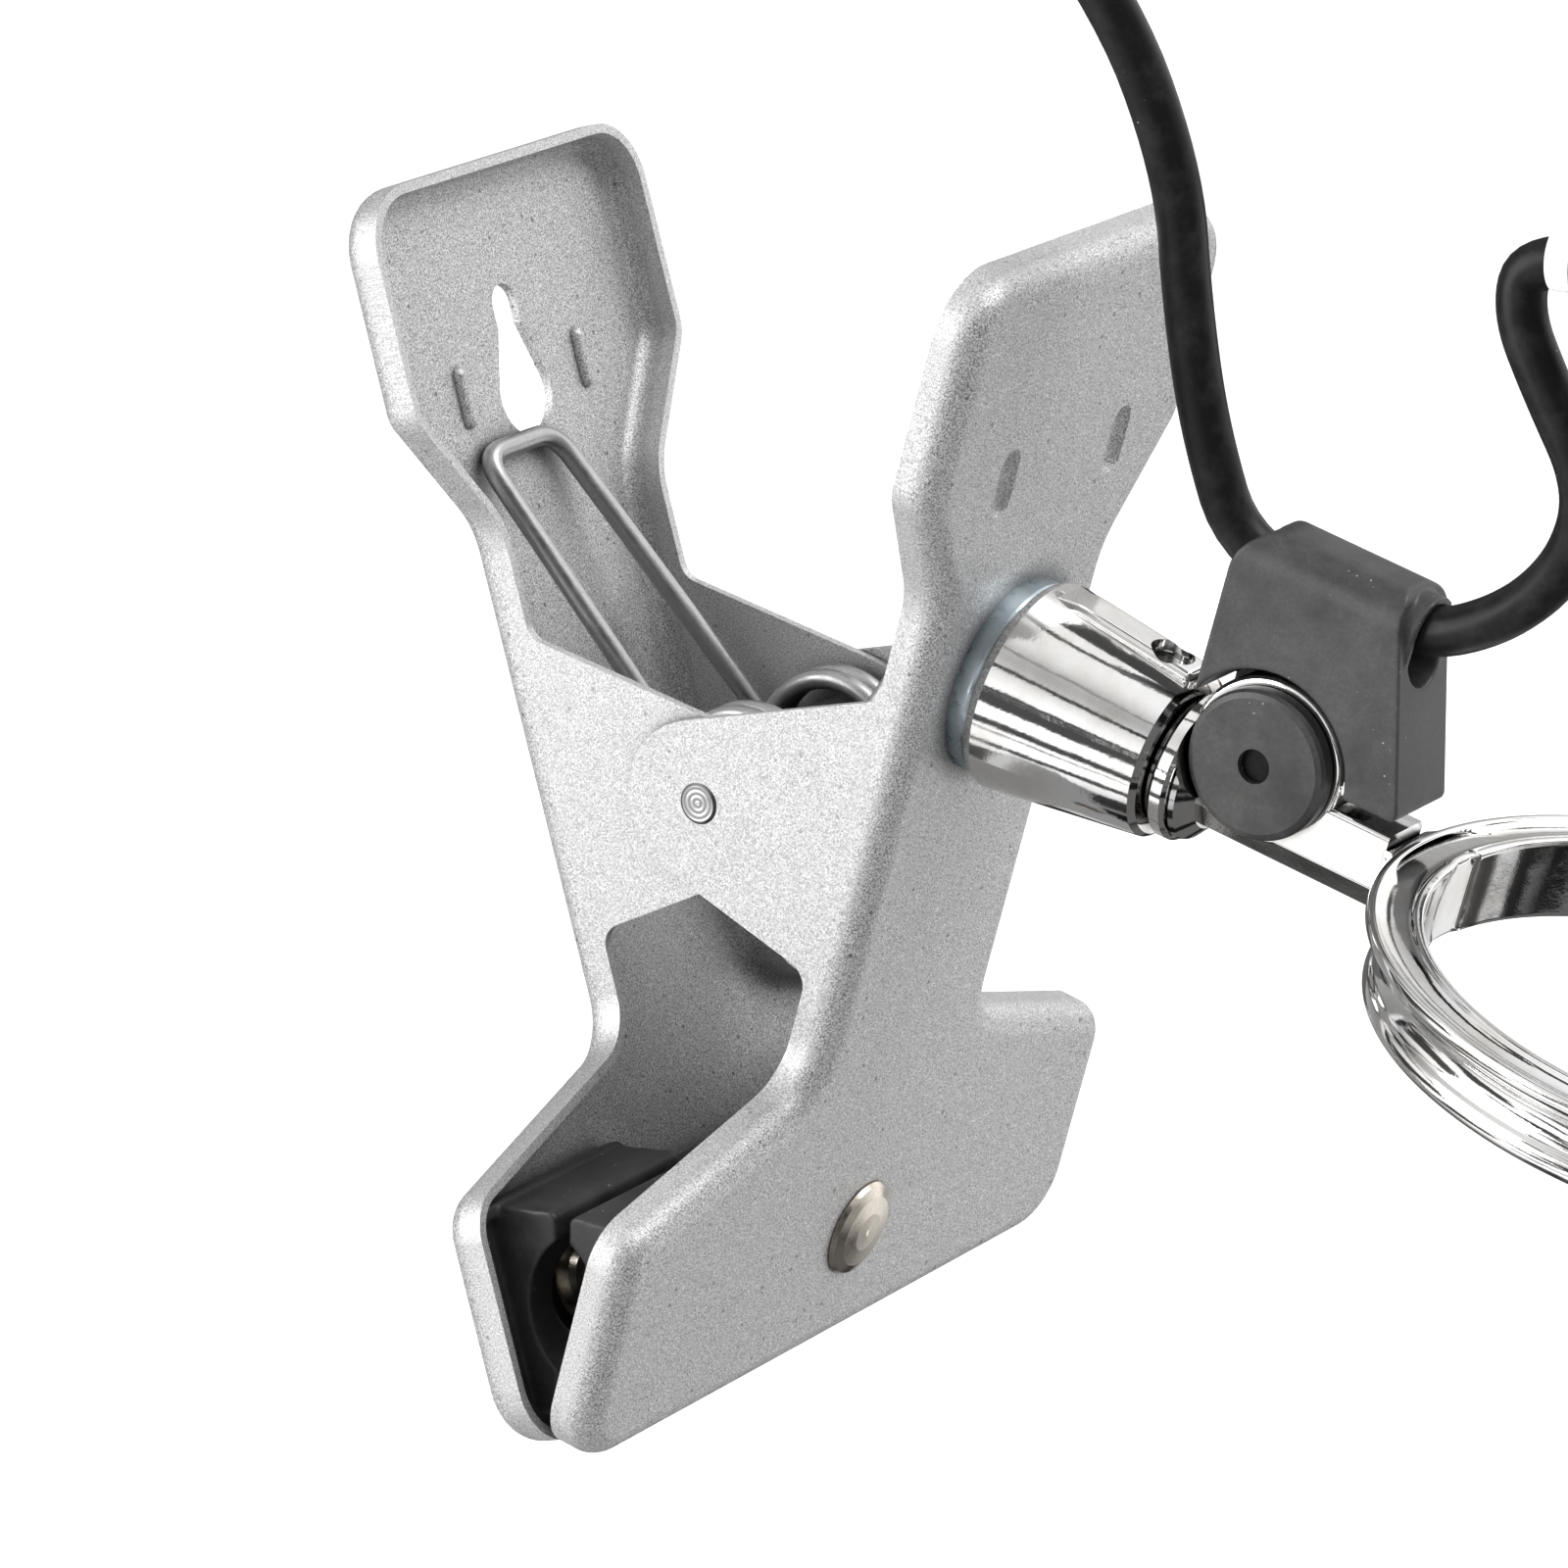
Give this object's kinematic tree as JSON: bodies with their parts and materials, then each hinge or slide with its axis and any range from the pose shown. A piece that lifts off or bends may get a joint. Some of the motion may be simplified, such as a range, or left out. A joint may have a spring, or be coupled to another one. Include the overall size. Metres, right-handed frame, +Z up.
{
  "type": "spring clamp with swivel ring arm",
  "caption": "Sprung T-jaw clamp in pressed steel with rubber pads; a cone swivel carries an arm with a cable guide and an open holding ring.",
  "frame": {"origin": "midway between the two grip pads, on the grip's centre line", "axes": "+Z up along the clamp towards the handles, +X towards the swivel arm, +Y along the pivot pin"},
  "size_m": [0.3288, 0.0936, 0.197],
  "materials": {
    "jaw_paint": "satin, fine sparkle",
    "pin_steel": "satin",
    "black_plastic": "matt",
    "spring_steel": "satin, dull",
    "pad_rubber": "matt",
    "rivet_nickel": "bright nickel",
    "zinc_washer": "zinc plated",
    "screw_steel": "dark steel",
    "polished_screw": "bright",
    "polished_chrome": "polished",
    "bush_nylon": "natural",
    "holder_plastic": "satin moulded",
    "disc_plastic": "satin moulded",
    "cord_sheath": "semi-gloss",
    "tie_plastic": "satin",
    "plug_plastic": "satin",
    "collar_plastic": "translucent, pale"
  },
  "bodies": {
    "clamp": {"front_jaw": "jaw_paint", "pivot_pin": "pin_steel", "spacer_sleeve": "black_plastic", "torsion_spring": "spring_steel", "front_pad": "pad_rubber", "front_pad_rivet": "rivet_nickel", "front_rivet_washer": "rivet_nickel", "seat_washer": "zinc_washer", "lock_washer": "zinc_washer", "cone_screw": "screw_steel", "swivel_cone": "polished_chrome", "swivel_bush": "bush_nylon", "friction_disc": "pad_rubber", "set_screw": "polished_screw", "supply_cord": "cord_sheath", "cord_coil": "cord_sheath", "cord_tie": "tie_plastic", "cord_tail": "cord_sheath", "plug_body": "plug_plastic", "plug_barrel": "rivet_nickel"},
    "rear": {"rear_jaw": "jaw_paint", "rear_pad": "pad_rubber", "rear_pad_rivets": "rivet_nickel", "rear_rivet_washers": "rivet_nickel"},
    "arm": {"swivel_arm": "polished_chrome", "holding_ring": "polished_chrome", "cable_holder": "holder_plastic", "holder_disc": "disc_plastic", "holder_screw": "screw_steel", "holder_nut": "zinc_washer", "lamp_lead": "cord_sheath", "lead_collar": "collar_plastic", "lead_connector": "plug_plastic"}
  },
  "joints": [
    {"name": "jaw_hinge", "type": "hinge", "parent": "clamp", "child": "rear", "pos_m": [0, 0, 0.05], "axis": [0, 1, 0], "range_deg": [0, 36], "stiffness_Nm_per_rad": 2.5, "springref_deg": -34.38, "deforming": ["torsion_spring"]},
    {"name": "arm_swivel", "type": "hinge", "parent": "clamp", "child": "arm", "pos_m": [0.04802, 0, 0.05805], "axis": [0.962, 0, -0.2731], "range_deg": [-90, 90], "deforming": ["supply_cord"]}
  ]
}
